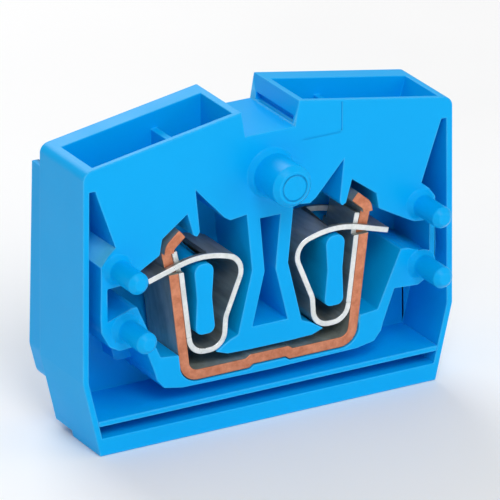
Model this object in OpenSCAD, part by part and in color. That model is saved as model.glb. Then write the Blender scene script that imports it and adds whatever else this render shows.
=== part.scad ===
// Feed-through spring clamp terminal block, two conductors, one open side.
// X runs along the block, Y along the row of blocks (the open side faces -Y), Z is up from the foot.
// The origin is on the foot's underside, at the middle of the length and of the pitch.

/* [Block] */
// Length of the housing at its widest
block_l = 28; // [28:0.1:28.6]
// Height from the foot to the two roof peaks
block_h = 22.1; // [22:0.1:22.6]
// Width that one block takes up in a row
pitch = 6; // [6:0.1:6.4]
// Length of the foot
foot_l = 25.5; // [25.2:0.1:25.9]
// Height at which the side walls start to slope in towards the foot
taper_z = 5.4; // [5.2:0.1:5.8]
// Height of the roof's outer corners
corner_z = 20.1; // [19.9:0.1:20.3]
// How far each side wall leans in at the roof
side_draft = 0.17; // [0.1:0.01:0.2]
// Radius of the roof's outer corners
corner_r = 0.7; // [0.4:0.1:0.9]

/* [Walls] */
// Thickness of the front panel over the entries
panel_t = 0.42; // [0.38:0.01:0.44]
// Thickness of the closed wall
closed_t = 1.42; // [1.4:0.01:1.44]
// Thickness of the frame's side walls
side_t = 0.45; // [0.4:0.01:0.5]
// Thickness of the foot plate
base_t = 1.25; // [1.1:0.05:1.3]
// Height of the slot between the foot plate and the shelf
slot_h = 0.85; // [0.8:0.05:0.9]
// Thickness of the shelf above the slot
shelf_t = 0.4; // [0.3:0.05:0.4]
// Depth of the foot's flat underside, from the open side
foot_flat = 3.8; // [3.6:0.1:4.4]
// Height of the step behind the flat
foot_step = 0.45; // [0.3:0.05:0.6]

/* [Roof notch] */
// Height of the notch floor
notch_z = 20.35; // [20.2:0.05:20.5]
// Width of the notch at its floor
notch_w = 3.7; // [3.5:0.1:3.8]
// Width of the notch between the roof peaks
notch_top_w = 4.3; // [4.2:0.1:4.4]

/* [Coupling to the next block] */
// Diameter of the main pin
main_pin_d = 2.9; // [2.7:0.05:2.95]
// Diameter of the main bore
main_bore_d = 3; // [3:0.05:3.1]
// Height of the main pin and bore
main_z = 17.5; // [17.3:0.1:17.7]
// Diameter of the four small pins
small_pin_d = 1.5; // [1.4:0.02:1.54]
// Diameter of the four small bores
small_bore_d = 1.6; // [1.58:0.02:1.66]
// How far the pins stand out of the open side
pin_len = 3.2; // [2.8:0.1:3.4]
// Depth of the bores from the closed side
bore_depth = 3.6; // [3.5:0.1:3.8]
// Distance of the upper small pins from the middle
upper_pin_x = 11.4; // [11.35:0.05:11.45]
// Height of the upper small pins
upper_pin_z = 13; // [12.9:0.05:13.1]
// Distance of the lower left pin from the middle
lower_left_x = 10.8; // [10.7:0.05:10.9]
// Distance of the lower right pin from the middle
lower_right_x = 11.5; // [11.4:0.05:11.5]
// Height of the lower small pins
lower_pin_z = 8.7; // [8.6:0.05:8.8]
// Depth of the rim that nests in the next block
rim_depth = 2.6; // [2:0.1:3]
// Thickness of the rim
rim_t = 0.5; // [0.4:0.05:0.5]
// Depth of the tongue that enters the next block's slot
tongue_depth = 1.6; // [1.2:0.1:2]

/* [Busbar and springs] */
// Thickness of the busbar
bus_t = 0.72; // [0.6:0.02:0.76]
// Width of the busbar and springs
metal_w = 4.1; // [4:0.02:4.12]
// Width of the window in the clamping arm
window_w = 3.42; // [3.4:0.02:3.5]
// Width of the busbar and leg where they pass through the window
neck_w = 3.32; // [3.2:0.02:3.34]
// Thickness of the spring steel
spring_t = 0.38; // [0.3:0.02:0.4]

/* [Hidden] */

housing_blue = [0.03, 0.6, 0.9];
copper = [0.8, 0.42, 0.28];
steel = [0.78, 0.8, 0.78];
bore_fn = 64;
arc_steps = 8;

half_l = block_l / 2;
foot_half = foot_l / 2;
roof_half = half_l - side_draft;
front_y = -pitch / 2;
back_y = pitch / 2;
ring_h = 0.15;
mark_h = 0.06;
panel_y = front_y + panel_t;
chamber_y = back_y - closed_t;
step_y = front_y + foot_flat;
shelf_z = base_t + slot_h;
peak_x = notch_top_w / 2;

// Side slot between the frame wall and the funnel wall
slot_top_z = 18.7;
slot_top_x = 13;
slot_foot = [11.5, 14.5];

// Entry funnel, from the roof down to the conductor's exit above the clamp
funnel_out_x = 12.95;
funnel_in_x = 6.35;
divider_t = 0.45;
divider_drop = 1.2;
exit_in_x = 8.5;
exit_out_x = 10.45;
entry_foot_z = 11.7;

// Screwdriver slot
tool_slot_x = 2.65;

// Clamp: the spring's leg stands against the busbar and the arm's window closes on the outside
metal_y = -0.84;
spring_gap = 0.02;
hinge_z = 7;
window_in_x = 4.6;
window_out_x = 7.7;
neck_z = [11.7, 13.2];

// Height of the busbar's floor and of its raised middle, and its lean outwards
bus_z = 4.25;
bus_mid_z = 4.47;
bus_corner_x = 6.27;
bus_knee = [7.17, 11.7];
bus_lean = (bus_knee.x - bus_corner_x) / (bus_knee.y - bus_z);
bus_gap = 0.05;

// ---- paths and outlines -------------------------------------------------

function unit(v) = v / norm(v);
function left_of(v) = [-v.y, v.x];
function flip(points) = [for (i = [len(points) - 1 : -1 : 0]) [-points[i].x, points[i].y]];
function both_halves(right) = concat(right, flip(right));

// A corner of a path, rounded to radius r
function corner(a, b, c, r) =
    let (
        u = unit(a - b),
        w = unit(c - b),
        half = acos(u * w) / 2,
        middle = b + unit(u + w) * r / sin(half),
        s = b + u * r / tan(half) - middle,
        e = b + w * r / tan(half) - middle,
        start = atan2(s.y, s.x),
        sweep = (atan2(e.y, e.x) - start + 540) % 360 - 180
    )
    [for (i = [0 : arc_steps]) let (t = start + sweep * i / arc_steps) middle + r * [cos(t), sin(t)]];

function flat2(p) = [p[0], p[1]];

// Rounds the corners of a path of [x, z, radius] points
function smooth(path) = [
    for (i = [0 : len(path) - 1])
        each (i == 0 || i == len(path) - 1 || path[i][2] == 0)
            ? [flat2(path[i])]
            : corner(flat2(path[i - 1]), flat2(path[i]), flat2(path[i + 1]), path[i][2])
];

// Moves a path sideways by d, with mitred corners
function offset_path(path, d) = [
    for (i = [0 : len(path) - 1])
        let (
            before = left_of(unit(i == 0 ? path[1] - path[0] : path[i] - path[i - 1])),
            after = left_of(unit(i == len(path) - 1 ? path[i] - path[i - 1] : path[i + 1] - path[i])),
            n = unit(before + after)
        )
        path[i] + n * d / (n * after)
];

function reversed(points) = [for (i = [len(points) - 1 : -1 : 0]) points[i]];
function band(path, t) = concat(offset_path(path, t / 2), reversed(offset_path(path, -t / 2)));

function taper_x(z) = foot_half + (half_l - foot_half) * z / taper_z;
function wall_x(z) = half_l - side_draft * (z - taper_z) / (corner_z - taper_z);
function roof_z(x) = block_h - (block_h - corner_z) * (x - peak_x) / (roof_half - peak_x);

// Right half of the block's silhouette above a height z
function silhouette(z) = smooth([
    [0, notch_z, 0],
    [notch_w / 2, notch_z, 0],
    [peak_x, block_h, 0],
    [roof_half, corner_z, corner_r],
    [half_l, taper_z, 0],
    [taper_x(z), z, 0]
]);

// Right half of the roof, down to the top of the side slot
function roof_outline() = smooth([
    [notch_w / 2, notch_z, 0],
    [peak_x, block_h, 0],
    [roof_half, corner_z, corner_r],
    [wall_x(slot_top_z), slot_top_z, 0],
    [half_l - side_t - side_draft, slot_top_z, 0],
    [slot_top_x, slot_top_z, 0]
]);

// Lower edge of the right entry, from the outside in to the finger of the divider
entry_edge = [slot_foot, [12.07, 14], [12.6, 13.3], [12.6, entry_foot_z], [11, 11.8], [10.4, 12.1]];
guide_edge = [[8.25, 13.3], [8.05, 14.4], [6.2, 15.76]];
finger_edge = [[5.75, 14.2], [5.45, 14.05], [5.25, 14.35], [5.55, 17.3]];
centre_edge = [[3.45, 15], [3, 14.7], [1.77, 14.85]];

// Centreline of the busbar's right half, from the raised middle to the hooked end
bus_half = smooth([
    [0, bus_mid_z, 0],
    [1.35, bus_mid_z, 0],
    [1.65, bus_z, 0],
    [bus_corner_x, bus_z, 1],
    [bus_knee.x, bus_knee.y, 1],
    [7.5, 13.1, 0.6],
    [7.42, 13.65, 0.6],
    [6.5, 14.45, 0]
]);
bus_path = concat(flip([for (i = [1 : len(bus_half) - 1]) bus_half[i]]), bus_half);

// Centreline of the right spring: the leg lies along the busbar, then the bend, shoulder and arm
function leg_x(z) = bus_corner_x - bus_t / 2 - spring_t / 2 - spring_gap + bus_lean * (z - bus_z);
leg_top_z = 11.85;
bend_z = 5.81;
leg_path = smooth([[6.9, 13.1, 0], [leg_x(leg_top_z), leg_top_z, 0.8], [leg_x(hinge_z), hinge_z, 0]]);
loop_path = smooth([
    [leg_x(hinge_z), hinge_z, 0],
    [leg_x(bend_z), bend_z, 1.15],
    [3.42, bend_z, 1.12],
    [3.28, 7.9, 1.6],
    [1.72, 11.76, 1.2],
    [5, 12.74, 6],
    [9.05, 11.56, 0]
]);

// ---- helpers ------------------------------------------------------------

// Extrudes an XZ outline from y0 to y1
module across(y0, y1) {
    translate([0, y1, 0]) rotate([90, 0, 0]) linear_extrude(height = y1 - y0) children();
}

module on_left() {
    mirror([1, 0, 0]) children();
}

module bore(x, z, d) {
    translate([x, back_y - bore_depth, z]) rotate([-90, 0, 0]) cylinder(h = bore_depth + 1, d = d, $fn = bore_fn);
}

module small_bores() {
    bore(-upper_pin_x, upper_pin_z, small_bore_d);
    bore(upper_pin_x, upper_pin_z, small_bore_d);
    bore(-lower_left_x, lower_pin_z, small_bore_d);
    bore(lower_right_x, lower_pin_z, small_bore_d);
}

// A pin with a flared root and a chamfered tip, pointing out of the open side
module pin(x, z, d) {
    flare = 0.3;
    flare_h = 0.45;
    tip = 0.35;
    translate([x, front_y, z]) rotate([90, 0, 0]) {
        cylinder(h = flare_h, d1 = d + 2 * flare, d2 = d, $fn = bore_fn);
        translate([0, 0, flare_h]) cylinder(h = pin_len - flare_h - tip, d = d, $fn = bore_fn);
        translate([0, 0, pin_len - tip]) cylinder(h = tip, d1 = d, d2 = d - 2 * tip, $fn = bore_fn);
    }
}

// A low ring round a bore on the closed side
module bore_ring(x, z, d) {
    ring_w = 0.45;
    translate([x, back_y - 0.1, z]) rotate([-90, 0, 0])
        cylinder(h = ring_h + 0.1, d = d + 2 * ring_w, $fn = bore_fn);
}

// A blank round field, outlined by a low ring
module blank_ring(x, z) {
    translate([x, back_y - 0.1, z]) rotate([-90, 0, 0]) difference() {
        cylinder(h = mark_h + 0.1, d = 1.9, $fn = bore_fn);
        translate([0, 0, -1]) cylinder(h = 3, d = 1.5, $fn = bore_fn);
    }
}

// ---- housing: one moulding, drawn as the walls and ribs it is made of ------

module housing_closed_wall() {
    mark_depth = 0.15;
    color(housing_blue) difference() {
        union() {
            across(chamber_y, back_y) polygon(both_halves(silhouette(foot_step)));
            bore_ring(0, main_z, main_bore_d);
            bore_ring(-upper_pin_x, upper_pin_z, small_bore_d);
            bore_ring(upper_pin_x, upper_pin_z, small_bore_d);
            bore_ring(-lower_left_x, lower_pin_z, small_bore_d);
            bore_ring(lower_right_x, lower_pin_z, small_bore_d);
            blank_ring(5.4, 15);
            blank_ring(-4.4, 18.4);
            // Blank rectangular field
            translate([-4.6, back_y - 0.1, 9.6]) cube([9.6, mark_h + 0.1, 3.9]);
        }
        bore(0, main_z, main_bore_d);
        small_bores();
        // Shallow band above the tongue
        translate([-12.3, back_y - mark_depth, 3.4]) cube([24.6, 1, 1.65]);
        // Fine vertical groove beside the left edge
        translate([-12.8, back_y - mark_depth, 14.5]) cube([0.2, 1, 5]);
        notch_groove();
    }
}

module side_wall_right() {
    color(housing_blue) across(front_y, chamber_y) polygon([
        [half_l - side_t - side_draft, slot_top_z],
        [wall_x(slot_top_z), slot_top_z],
        [half_l, taper_z],
        [taper_x(base_t), base_t],
        [taper_x(base_t) - side_t, base_t],
        [half_l - side_t, taper_z]
    ]);
}

module foot_outline(z0, z1) {
    polygon(both_halves([[0, z1], [taper_x(z1), z1], [taper_x(z0), z0], [0, z0]]));
}

module housing_foot_plate() {
    color(housing_blue) {
        across(front_y, step_y) foot_outline(0, base_t);
        across(step_y, chamber_y) foot_outline(foot_step, base_t);
    }
}

module housing_shelf() {
    top_z = shelf_z + shelf_t;
    color(housing_blue) across(front_y, chamber_y) polygon(both_halves([
        [0, top_z],
        [taper_x(top_z) - side_t, top_z],
        [taper_x(shelf_z) - side_t, shelf_z],
        [0, shelf_z]
    ]));
}

// Raised pad beside the notch, and the groove that ends it
module panel_details() {
    groove_d = 0.12;
    translate([5.3, front_y - 1, 19.4]) cube([0.12, 1 + groove_d, 2]);
    translate([2.45, front_y - 1, 19.25]) cube([2.85, 1 + 0.05, 0.12]);
}

module housing_front_panel() {
    half = concat(roof_outline(), entry_edge, guide_edge, finger_edge, centre_edge);
    color(housing_blue) difference() {
        across(front_y, panel_y) polygon(both_halves(half));
        panel_details();
    }
}

// Undercut along the foot of the notch's right wall
module notch_groove() {
    translate([1.5, panel_y, notch_z + 0.15]) cube([0.85, pitch - panel_t - 0.7, 0.45]);
}

module housing_centre_block() {
    half = concat(
        [[0, notch_z], [notch_w / 2, notch_z], [peak_x, block_h], [tool_slot_x, roof_z(tool_slot_x)],
        [tool_slot_x, 17.8]],
        centre_edge,
        [[0, 14.85]]
    );
    color(housing_blue) difference() {
        across(panel_y, chamber_y) polygon(both_halves(half));
        bore(0, main_z, main_bore_d);
        notch_groove();
    }
}

module funnel_wall_right() {
    roof = roof_outline();
    outer = [for (i = [2 : len(roof) - 1]) roof[i]];
    color(housing_blue) difference() {
        across(panel_y, chamber_y) polygon(concat(
            [[funnel_out_x, roof_z(funnel_out_x)]],
            outer,
            [for (p = entry_edge) if (p.x > exit_out_x) p],
            [[exit_out_x, 12.1], [exit_out_x, 13.4], [11, slot_foot.y], [12.5, slot_top_z]]
        ));
        small_bores();
    }
}

module slot_divider_right() {
    top_z = roof_z(funnel_in_x) - divider_drop;
    color(housing_blue) across(panel_y, chamber_y) polygon(concat(
        [[funnel_in_x - divider_t, top_z + 0.07], [funnel_in_x, top_z], [6.3, 17.1], [8.35, 14.95],
        [exit_in_x, 13.2]],
        guide_edge,
        finger_edge
    ));
}

module housing_centre_web() {
    top_z = 14.85;
    color(housing_blue) across(front_y, chamber_y) difference() {
        polygon(both_halves([
            [0, top_z], [1.77, top_z], [1.37, 10.85], [2.42, 6.5], [3.05, 6.25], [4.05, 5.6], [3.2, 5.3],
            [1.45, 5.25], [0, 5.25]
        ]));
        polygon(both_halves([[0, 14.4], [0.75, 14.4], [0.4, 10.6], [1.31, 6.85], [0, 6.85]]));
    }
}

// Stop inside the spring's loop
module spring_post_right() {
    color(housing_blue) across(front_y, chamber_y) polygon(smooth([
        [4.9, 12.05, 0], [5.72, 12.05, 0.6], [5.5, 9.6, 2], [5.6, 7.05, 0.5], [4.1, 7.05, 0.5],
        [4.35, 9.6, 2], [4.2, 12.05, 0.6], [4.9, 12.05, 0]
    ]));
}

module housing_busbar_cradle() {
    color(housing_blue) across(front_y, chamber_y) difference() {
        polygon(both_halves([
            [0, 3.5], [6.6, 3.6], [7.95, 3.85], [8.5, 4.5], [8.65, 5.05], [8.2, 6.1], [6.9, 5.95], [0, 5.95]
        ]));
        polygon(band(bus_path, bus_t + 2 * bus_gap));
        polygon(bus_path);
    }
}

module pin_arm_outline() {
    polygon([
        [8.2, 6.1], [9.95, 10.05], [10.4, 10.05], [12.15, 9.4], [12.15, entry_foot_z + 0.03],
        [12.6, entry_foot_z], [12.65, 9.7], [12.6, 8.7], [12, 7.6], [11.3, 7.2], [9.5, 7.3], [8.65, 5.05]
    ]);
}

// Low web between the pin arm and the closed wall
module arm_foot() {
    foot_depth = 1.4;
    across(chamber_y - foot_depth, chamber_y) polygon([
        [9.5, 7.3], [10.45, 7.25], [10, 5.2], [9.75, 5.02], [8.65, 5.05]
    ]);
}

module pin_arm_right() {
    color(housing_blue) difference() {
        union() {
            across(front_y, chamber_y) pin_arm_outline();
            arm_foot();
        }
        small_bores();
    }
}

module pin_arm_left() {
    color(housing_blue) difference() {
        on_left() {
            across(front_y, chamber_y) pin_arm_outline();
            arm_foot();
        }
        small_bores();
    }
}

module housing_main_pin() {
    groove_d = 0.1;
    color(housing_blue) difference() {
        pin(0, main_z, main_pin_d);
        // Ring groove in the end face
        translate([0, front_y - pin_len + groove_d, main_z]) rotate([90, 0, 0]) difference() {
            cylinder(h = 1, d = 1.9, $fn = bore_fn);
            translate([0, 0, -1]) cylinder(h = 3, d = 1.65, $fn = bore_fn);
        }
    }
}

module housing_small_pins() {
    color(housing_blue) {
        pin(-upper_pin_x, upper_pin_z, small_pin_d);
        pin(upper_pin_x, upper_pin_z, small_pin_d);
        pin(-lower_left_x, lower_pin_z, small_pin_d);
        pin(lower_right_x, lower_pin_z, small_pin_d);
    }
}

// Skirt behind the closed wall, open at the top, that slides into the next block's frame
module housing_nesting_rim() {
    half = smooth([[0, 2.85, 0], [12.6, 2.85, 0.7], [13.16, 5.1, 1.2], [12.8, 17.95, 0]]);
    tail = [for (i = [1 : len(half) - 1]) half[i]];
    color(housing_blue) across(back_y, back_y + rim_depth) polygon(band(concat(flip(tail), tail), rim_t));
}

module housing_tongue() {
    color(housing_blue) across(back_y, back_y + tongue_depth)
        polygon(both_halves([[0, 2], [12.1, 2], [11.9, 1.35], [0, 1.35]]));
}

// Two-tier pad that keeps the next block's spring and busbar in place
module retaining_pad_right() {
    lip_h = 0.8;
    plate_h = 0.5;
    inner = [[7.75, 12.2], [9.85, 11.45], [8.4, 8.75], [7.2, 8.95]];
    color(housing_blue) {
        across(back_y, back_y + plate_h) polygon(inner);
        across(back_y, back_y + lip_h) polygon([
            [7.2, 13], [10.15, 11.95], inner[1], inner[0], inner[3], [6.6, 9.1]
        ]);
    }
}

// ---- metal parts --------------------------------------------------------

// Extrudes an XZ outline to the width of the metal parts
module metal() {
    across(metal_y - metal_w / 2, metal_y + metal_w / 2) children();
}

// Cuts both edges back to the neck, where the window's side strips swing past
module neck_cuts() {
    depth = (metal_w - neck_w) / 2;
    for (side = [-1, 1]) {
        y = metal_y + side * (metal_w - depth) / 2;
        translate([-block_l / 2, y - depth / 2 - (side < 0 ? 1 : 0), neck_z[0]])
            cube([block_l, depth + 1, neck_z[1] - neck_z[0]]);
    }
}

module busbar() {
    color(copper) difference() {
        metal() polygon(band(bus_path, bus_t));
        neck_cuts();
    }
}

module spring_leg_right() {
    color(steel) difference() {
        metal() polygon(band(leg_path, spring_t));
        neck_cuts();
    }
}

// The bend, shoulder and arm swing about the inner face of the leg at hinge_z
module spring_arm_right() {
    color(steel) difference() {
        metal() polygon(band(loop_path, spring_t));
        translate([window_in_x, metal_y - window_w / 2, 11]) cube([window_out_x - window_in_x, window_w, 3]);
    }
}

housing_closed_wall();
on_left() side_wall_right();  // housing_side_wall_left
side_wall_right();  // housing_side_wall_right
housing_foot_plate();
housing_shelf();
housing_front_panel();
housing_centre_block();
on_left() funnel_wall_right();  // housing_funnel_wall_left
funnel_wall_right();  // housing_funnel_wall_right
on_left() slot_divider_right();  // housing_slot_divider_left
slot_divider_right();  // housing_slot_divider_right
housing_centre_web();
on_left() spring_post_right();  // housing_spring_post_left
spring_post_right();  // housing_spring_post_right
housing_busbar_cradle();
pin_arm_left();  // housing_pin_arm_left
pin_arm_right();  // housing_pin_arm_right
housing_main_pin();
housing_small_pins();
housing_nesting_rim();
housing_tongue();
on_left() retaining_pad_right();  // housing_retaining_pad_left
retaining_pad_right();  // housing_retaining_pad_right
busbar();
on_left() spring_leg_right();  // spring_leg_left
spring_leg_right();
on_left() spring_arm_right();  // spring_arm_left
spring_arm_right();
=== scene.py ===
import math

import bmesh
import bpy
from mathutils import Matrix, Vector


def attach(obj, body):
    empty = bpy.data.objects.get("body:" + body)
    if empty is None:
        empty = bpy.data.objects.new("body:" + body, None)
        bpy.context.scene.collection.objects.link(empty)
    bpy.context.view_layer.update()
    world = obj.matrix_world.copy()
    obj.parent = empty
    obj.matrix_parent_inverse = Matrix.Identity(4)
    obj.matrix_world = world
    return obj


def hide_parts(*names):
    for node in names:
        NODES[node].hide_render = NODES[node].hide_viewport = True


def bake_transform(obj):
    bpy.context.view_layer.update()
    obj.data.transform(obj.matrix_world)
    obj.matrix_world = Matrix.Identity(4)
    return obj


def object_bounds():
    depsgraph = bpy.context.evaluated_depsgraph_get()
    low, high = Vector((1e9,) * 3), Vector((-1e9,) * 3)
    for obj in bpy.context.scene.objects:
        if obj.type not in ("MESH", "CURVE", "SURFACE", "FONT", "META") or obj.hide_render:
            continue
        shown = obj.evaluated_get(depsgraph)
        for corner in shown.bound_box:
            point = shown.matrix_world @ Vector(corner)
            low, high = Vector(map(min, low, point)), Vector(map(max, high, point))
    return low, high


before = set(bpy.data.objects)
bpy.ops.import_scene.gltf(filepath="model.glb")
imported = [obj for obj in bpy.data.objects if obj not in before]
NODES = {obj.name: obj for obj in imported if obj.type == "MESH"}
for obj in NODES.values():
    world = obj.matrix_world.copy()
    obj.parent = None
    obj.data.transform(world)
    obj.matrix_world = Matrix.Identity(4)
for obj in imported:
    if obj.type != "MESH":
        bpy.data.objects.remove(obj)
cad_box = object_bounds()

MM = 0.001
SIDES = (("left", -1), ("right", 1))
HOUSING = sorted(n for n in NODES if n.startswith("housing_"))

# Lengths in millimetres.
WELD = 0.0005  # vertices of a CAD mesh this close together are one
FLAT_WELD = 0.002  # the same, after the housing's regions are joined
HOUSING_BEVEL = 0.07
BUSBAR_BEVEL = 0.06
SPRING_BEVEL = 0.05
SLICE_FROM, SLICE_TO, SLICE_STEP = 5.7, 11.0, 0.3

BEVEL_SEGMENTS = 2
BEVEL_ABOVE = math.radians(28)  # edges that turn more than this are bevelled
SHARP_ABOVE = math.radians(50)  # shading is split at edges that turn more than this
ACROSS = 0.45  # sine of the least angle at which an edge counts as running across another
ROOM = 2.3  # bevel widths that a face needs beside a bevelled edge
EDGE_FACING = 0.35  # a strip's face is a sheared edge when its normal's Y is over this


# ---- mesh helpers, in millimetres until to_metres ------------------------------

def solid_from_node(name):
    """A clean bmesh of a CAD node, in millimetres."""
    bm = bmesh.new()
    bm.from_mesh(NODES[name].data)
    bmesh.ops.scale(bm, vec=(1 / MM, 1 / MM, 1 / MM), verts=bm.verts)
    bmesh.ops.remove_doubles(bm, verts=bm.verts, dist=WELD)
    bmesh.ops.dissolve_degenerate(bm, edges=bm.edges, dist=WELD)
    return bm


def new_object(name, bm):
    mesh = bpy.data.meshes.new(name)
    bm.to_mesh(mesh)
    bm.free()
    obj = bpy.data.objects.new(name, mesh)
    bpy.context.scene.collection.objects.link(obj)
    return obj


def apply_modifiers(obj):
    bpy.context.view_layer.update()
    graph = bpy.context.evaluated_depsgraph_get()
    evaluated = obj.evaluated_get(graph)
    mesh = bpy.data.meshes.new_from_object(evaluated, preserve_all_data_layers=True, depsgraph=graph)
    old = obj.data
    obj.modifiers.clear()
    obj.data = mesh
    bpy.data.meshes.remove(old)


def merge_flat_faces(obj, degrees=0.5):
    bm = bmesh.new()
    bm.from_mesh(obj.data)
    bmesh.ops.remove_doubles(bm, verts=bm.verts, dist=FLAT_WELD)
    bmesh.ops.dissolve_degenerate(bm, edges=bm.edges, dist=FLAT_WELD)
    bmesh.ops.dissolve_limit(bm, angle_limit=math.radians(degrees), verts=bm.verts, edges=bm.edges,
                             delimit={"NORMAL"})
    bm.to_mesh(obj.data)
    bm.free()


def union(obj, others):
    for other in others:
        boolean = obj.modifiers.new("union", "BOOLEAN")
        boolean.operation = "UNION"
        boolean.solver = "MANIFOLD"
        boolean.object = other
        apply_modifiers(obj)
    for other in others:
        bpy.data.objects.remove(other)
    return obj


def has_room(edge, width):
    """Whether the edges that meet this one at its ends are long enough for its bevel.

    It doesn't see a face that is thin further along, or edges that meet at a shallow
    angle, so some bevels on the housing still fold over.
    """
    along = (edge.verts[1].co - edge.verts[0].co).normalized()
    for vert in edge.verts:
        for face in edge.link_faces:
            for other in vert.link_edges:
                if other is edge or face not in other.link_faces:
                    continue
                side = other.other_vert(vert).co - vert.co
                if side.cross(along).length > ACROSS * side.length and side.length < ROOM * width:
                    return False
    return True


def mark_soft_edges(obj, width):
    """Weight 1 on the sharp edges that pass has_room; the rest stay sharp."""
    bm = bmesh.new()
    bm.from_mesh(obj.data)
    weight = bm.edges.layers.float.new("bevel_weight_edge")
    for edge in bm.edges:
        sharp = len(edge.link_faces) == 2 and edge.calc_face_angle() > BEVEL_ABOVE
        edge[weight] = 1.0 if sharp and has_room(edge, width) else 0.0
    bm.to_mesh(obj.data)
    bm.free()


def soften(obj, width):
    mark_soft_edges(obj, width)
    bevel = obj.modifiers.new("soft_edges", "BEVEL")
    bevel.width = width
    bevel.segments = BEVEL_SEGMENTS
    bevel.limit_method = "WEIGHT"
    bevel.use_clamp_overlap = False
    apply_modifiers(obj)
    for polygon in obj.data.polygons:
        polygon.use_smooth = True
    obj.data.set_sharp_from_angle(angle=SHARP_ABOVE)
    normals = obj.modifiers.new("even_normals", "WEIGHTED_NORMAL")
    normals.keep_sharp = True
    normals.weight = 100  # larger faces decide the shading fully
    apply_modifiers(obj)


def to_metres(obj):
    obj.data.transform(Matrix.Scale(MM, 4))


# ---- materials ---------------------------------------------------------------

class Graph:
    """A material's node tree, with its Principled shader and object coordinates."""

    def __init__(self, name):
        self.material = bpy.data.materials.new(name)
        self.material.use_nodes = True
        self.nodes = self.material.node_tree.nodes
        self.links = self.material.node_tree.links
        self.shader = self.nodes["Principled BSDF"]
        self.place = self.nodes.new("ShaderNodeTexCoord").outputs["Object"]

    def noise(self, scale, detail=4.0, rough=0.55, stretch=(1, 1, 1)):
        mapping = self.nodes.new("ShaderNodeMapping")
        mapping.inputs["Scale"].default_value = stretch
        self.links.new(self.place, mapping.inputs["Vector"])
        noise = self.nodes.new("ShaderNodeTexNoise")
        noise.inputs["Scale"].default_value = scale
        noise.inputs["Detail"].default_value = detail
        noise.inputs["Roughness"].default_value = rough
        self.links.new(mapping.outputs["Vector"], noise.inputs["Vector"])
        return noise.outputs["Fac"]

    def spread(self, source, low, high, to_low=0.0, to_high=1.0):
        node = self.nodes.new("ShaderNodeMapRange")
        node.inputs["From Min"].default_value = low
        node.inputs["From Max"].default_value = high
        node.inputs["To Min"].default_value = to_low
        node.inputs["To Max"].default_value = to_high
        self.links.new(source, node.inputs["Value"])
        return node.outputs["Result"]

    def mix(self, factor, a, b):
        node = self.nodes.new("ShaderNodeMix")
        node.data_type = "RGBA"
        for value, socket in ((factor, node.inputs[0]), (a, node.inputs[6]), (b, node.inputs[7])):
            if isinstance(value, bpy.types.NodeSocket):
                self.links.new(value, socket)
            elif isinstance(value, tuple):
                socket.default_value = (*value, 1.0)
            else:
                socket.default_value = value
        return node.outputs[2]

    def math(self, operation, a, b):
        node = self.nodes.new("ShaderNodeMath")
        node.operation = operation
        for value, socket in ((a, node.inputs[0]), (b, node.inputs[1])):
            if isinstance(value, bpy.types.NodeSocket):
                self.links.new(value, socket)
            else:
                socket.default_value = value
        return node.outputs[0]

    def edges(self, reach):
        """1 on outer edges and corners, 0 on flats.

        An edge is where a normal rounded over reach differs from the true one.
        """
        surface = self.nodes.new("ShaderNodeNewGeometry")
        rounded = self.nodes.new("ShaderNodeBevel")
        rounded.inputs["Radius"].default_value = reach
        dot = self.nodes.new("ShaderNodeVectorMath")
        dot.operation = "DOT_PRODUCT"
        self.links.new(surface.outputs["True Normal"], dot.inputs[0])
        self.links.new(rounded.outputs["Normal"], dot.inputs[1])
        turn = self.spread(dot.outputs["Value"], 0.99, 0.8)
        outer = self.spread(surface.outputs["Pointiness"], 0.49, 0.53)
        return self.math("MULTIPLY", turn, outer)

    def bump(self, height, strength, distance):
        node = self.nodes.new("ShaderNodeBump")
        node.inputs["Strength"].default_value = strength
        node.inputs["Distance"].default_value = distance
        self.links.new(height, node.inputs["Height"])
        self.links.new(node.outputs["Normal"], self.shader.inputs["Normal"])

    def drive(self, colour, roughness):
        self.links.new(colour, self.shader.inputs["Base Color"])
        self.links.new(roughness, self.shader.inputs["Roughness"])


def moulded_plastic():
    g = Graph("moulded_blue_polyamide")
    cloud = g.noise(170, detail=3)
    grain = g.noise(5200, detail=3)
    blue = g.mix(g.spread(cloud, 0.35, 0.65), (0.0, 0.41, 0.90), (0.0, 0.425, 0.92))
    # Painted highlight: convex edges are mixed toward a paler blue, made uneven by a noise; the same
    # mask also roughens those edges a little.
    highlight_patches = g.spread(g.noise(900, detail=6), 0.5, 0.72)
    edge_highlight = g.math("MULTIPLY", g.edges(0.00018), g.math("ADD", g.math("MULTIPLY", highlight_patches, 0.35), 0.5))
    blue = g.mix(edge_highlight, blue, (0.14, 0.62, 1.0))
    smears = g.math("ADD", g.noise(420, detail=5), g.math("MULTIPLY", edge_highlight, 0.2))
    g.drive(blue, g.spread(smears, 0.3, 0.8, 0.33, 0.42))
    g.shader.inputs["IOR"].default_value = 1.45
    g.shader.inputs["Specular IOR Level"].default_value = 0.14
    g.bump(grain, 0.16, 0.00003)
    return g.material


def metal(name, dark, light, rough, metallic, mottle, stretch):
    g = Graph(name)
    patches = g.spread(g.noise(mottle, detail=6, rough=0.65, stretch=stretch), 0.36, 0.64)
    colour = g.mix(patches, dark, light)
    # Painted highlight: convex edges are mixed toward the pale colour.
    colour = g.mix(g.math("MULTIPLY", g.edges(0.00008), 0.55), colour, light)
    smears = g.noise(mottle * 0.6, detail=5, stretch=stretch)
    g.drive(colour, g.spread(smears, 0.3, 0.7, rough - 0.07, rough + 0.09))
    g.shader.inputs["Metallic"].default_value = metallic
    g.bump(g.noise(mottle * 2.2, detail=5, stretch=stretch), 0.2, 0.00002)
    return g.material


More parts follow.
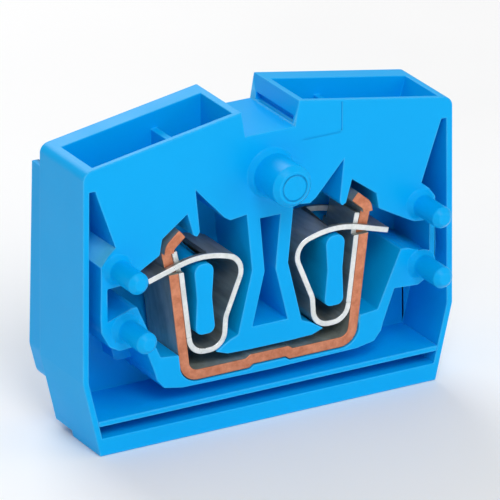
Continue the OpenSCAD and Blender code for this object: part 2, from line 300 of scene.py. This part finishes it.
SHEARED = (1, 0.12, 1)
PLASTIC = moulded_plastic()
COPPER = metal("sheared_copper_edge", (0.60, 0.20, 0.10), (0.80, 0.32, 0.18),
               rough=0.42, metallic=0.75, mottle=1900, stretch=SHEARED)
TIN = metal("dull_tin_plating", (0.27, 0.31, 0.28), (0.46, 0.51, 0.47),
            rough=0.45, metallic=0.5, mottle=900, stretch=(1, 1, 0.3))
STEEL_EDGE = metal("bright_spring_edge", (0.74, 0.78, 0.76), (0.92, 0.94, 0.93),
                   rough=0.34, metallic=0.55, mottle=1600, stretch=SHEARED)
STEEL_FACE = metal("rolled_spring_face", (0.21, 0.23, 0.21), (0.38, 0.40, 0.37),
                   rough=0.38, metallic=0.6, mottle=1100, stretch=(1, 0.15, 1))


def paint(obj, *materials):
    obj.data.materials.clear()
    for material in materials:
        obj.data.materials.append(material)


def paint_strip(obj, face_material, edge_material):
    """The strip's sheared edges face along Y; its rolled faces don't."""
    paint(obj, face_material, edge_material)
    for polygon in obj.data.polygons:
        polygon.material_index = 1 if abs(polygon.normal.y) > EDGE_FACING else 0


# ---- housing -------------------------------------------------------------------

def build_housing():
    parts = [new_object("part_" + name, solid_from_node(name)) for name in HOUSING]
    body = union(parts[0], parts[1:])
    merge_flat_faces(body)
    soften(body, HOUSING_BEVEL)
    body.name = "housing_moulding"
    to_metres(body)
    paint(body, PLASTIC)
    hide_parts(*HOUSING)
    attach(body, "block")


# ---- metal parts ---------------------------------------------------------------

def build_busbar():
    bar = new_object("busbar_strip", solid_from_node("busbar"))
    merge_flat_faces(bar, 0.2)
    soften(bar, BUSBAR_BEVEL)
    to_metres(bar)
    paint_strip(bar, TIN, COPPER)
    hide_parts("busbar")
    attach(bar, "block")


def slice_level(bm, z):
    geometry = list(bm.verts) + list(bm.edges) + list(bm.faces)
    bmesh.ops.bisect_plane(bm, geom=geometry, plane_co=(0, 0, z), plane_no=(0, 0, 1), dist=WELD)


def build_spring(side):
    leg = new_object("spring_leg_strip_" + side, solid_from_node("spring_leg_" + side))
    merge_flat_faces(leg, 0.2)
    soften(leg, SPRING_BEVEL)
    to_metres(leg)
    paint_strip(leg, STEEL_FACE, STEEL_EDGE)
    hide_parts("spring_leg_" + side)
    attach(leg, "block")

    band = new_object("spring_clamp_band_" + side, solid_from_node("spring_arm_" + side))
    merge_flat_faces(band, 0.2)
    soften(band, SPRING_BEVEL)
    bm = bmesh.new()
    bm.from_mesh(band.data)
    for i in range(int((SLICE_TO - SLICE_FROM) / SLICE_STEP)):
        slice_level(bm, SLICE_FROM + i * SLICE_STEP)
    bm.to_mesh(band.data)
    bm.free()
    to_metres(band)
    paint_strip(band, STEEL_FACE, STEEL_EDGE)
    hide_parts("spring_arm_" + side)
    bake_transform(band)


# ---- floor, lights and camera ------------------------------------------------------

def stage_material():
    g = Graph("pale_floor")
    tone = g.mix(g.spread(g.noise(30, detail=2), 0.3, 0.7), (0.93, 0.93, 0.93), (0.95, 0.95, 0.95))
    g.drive(tone, g.spread(g.noise(60, detail=2), 0.3, 0.7, 0.55, 0.65))
    return g.material


def build_stage(size=3.0):
    bm = bmesh.new()
    bmesh.ops.create_grid(bm, x_segments=1, y_segments=1, size=size)
    floor = new_object("floor", bm)
    paint(floor, stage_material())


def aim(obj, target):
    obj.rotation_euler = (target - obj.location).to_track_quat("-Z", "Y").to_euler()


def area_light(name, place, target, size, power):
    data = bpy.data.lights.new(name, "AREA")
    data.shape = "DISK"
    data.size = size
    data.energy = power
    obj = bpy.data.objects.new(name, data)
    obj.location = place
    bpy.context.scene.collection.objects.link(obj)
    aim(obj, target)


def build_lights(target):
    world = bpy.data.worlds.new("soft_studio")
    world.use_nodes = True
    background = world.node_tree.nodes["Background"]
    background.inputs["Color"].default_value = (1.0, 1.0, 1.0, 1)
    background.inputs["Strength"].default_value = 0.5
    bpy.context.scene.world = world
    area_light("key", Vector((-0.06, -0.22, 0.24)), target, size=0.16, power=0.42)
    area_light("fill", Vector((0.25, -0.2, 0.12)), target, size=0.24, power=0.14)
    area_light("back", Vector((0.02, 0.26, 0.2)), target, size=0.2, power=0.42)


def build_camera(target):
    azimuth, elevation = math.radians(-29.6), math.radians(22.5)
    distance, lens = 0.468, 512.0
    data = bpy.data.cameras.new("camera")
    data.lens = lens
    data.sensor_width = 36.0
    data.clip_start = 0.01
    data.clip_end = 20.0
    camera = bpy.data.objects.new("camera", data)
    camera.location = target + distance * Vector((
        math.sin(azimuth) * math.cos(elevation),
        -math.cos(azimuth) * math.cos(elevation),
        math.sin(elevation)))
    bpy.context.scene.collection.objects.link(camera)
    aim(camera, target)
    bpy.context.scene.camera = camera


build_housing()
build_busbar()
for side, sign in SIDES:
    build_spring(side)
low, high = (Vector(corner) for corner in cad_box)
middle = Vector(((low.x + high.x) / 2, (low.y + high.y) / 2, (low.z + high.z) / 2))
build_stage()
build_lights(middle)
build_camera(middle)
bpy.context.scene.view_settings.view_transform = "Standard"
